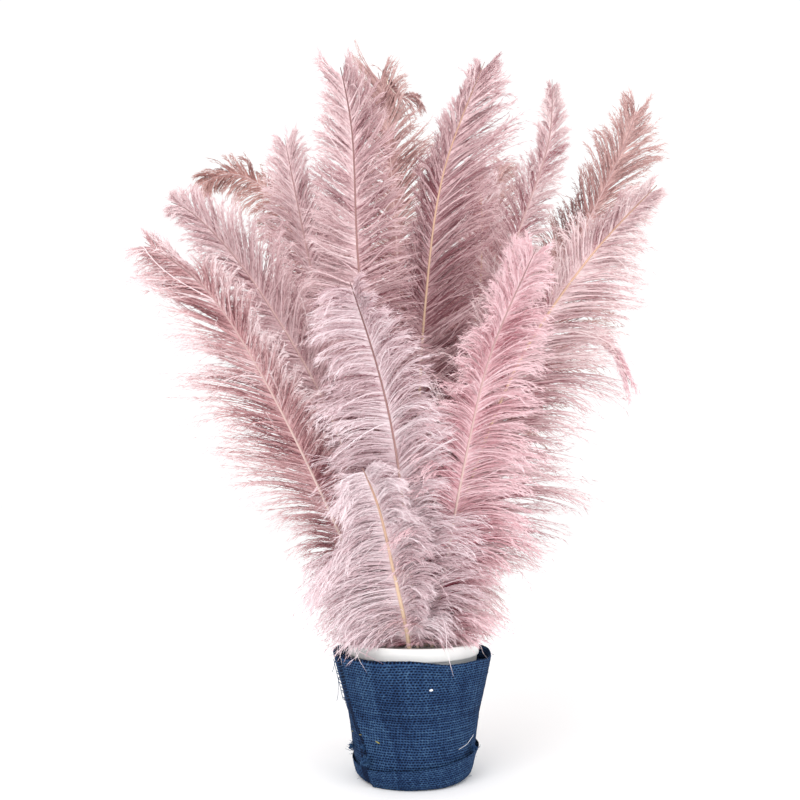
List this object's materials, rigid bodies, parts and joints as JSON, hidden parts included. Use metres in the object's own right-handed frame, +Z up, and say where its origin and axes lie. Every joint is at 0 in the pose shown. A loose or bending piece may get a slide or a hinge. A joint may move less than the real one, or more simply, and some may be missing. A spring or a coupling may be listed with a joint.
{
  "type": "ostrich feather bouquet in a pot",
  "caption": "Bunch of dyed ostrich plumes fanning out of a round tapered pot that is wrapped in coarse cloth with a turned-up hem.",
  "frame": {"origin": "centre of the pot's flat base, on the surface that it stands on", "axes": "+Z up along the pot's axis; -Y towards the side that the picture shows; +X to the right in that view"},
  "size_m": [0.4804, 0.5146, 0.742],
  "materials": {
    "pot_white": "satin",
    "foam_white": "matte",
    "burlap_navy": "matte",
    "plume_mauve": "matte",
    "plume_rose": "matte",
    "plume_tan": "matte"
  },
  "bodies": {
    "root": {"pot": "pot_white", "foam_block": "foam_white", "burlap_wrap": "burlap_navy", "plume_front_low": "plume_mauve", "plume_front_curl": "plume_mauve", "plume_rose_right": "plume_rose", "plume_low_left": "plume_rose", "plume_wide_right": "plume_mauve", "plume_left": "plume_mauve", "plume_tall_left": "plume_mauve", "plume_mid_left": "plume_mauve", "plume_tall_right": "plume_mauve", "plume_slender": "plume_mauve", "plume_tan_right": "plume_tan", "plume_centre": "plume_rose", "plume_tallest": "plume_tan", "plume_arching_left": "plume_tan", "plume_drooping_right": "plume_rose", "plume_back_tan": "plume_tan", "plume_back_left": "plume_mauve", "plume_back_right": "plume_tan", "plume_back_low_left": "plume_rose", "plume_back_centre": "plume_mauve", "plume_back_low": "plume_rose"}
  },
  "joints": []
}
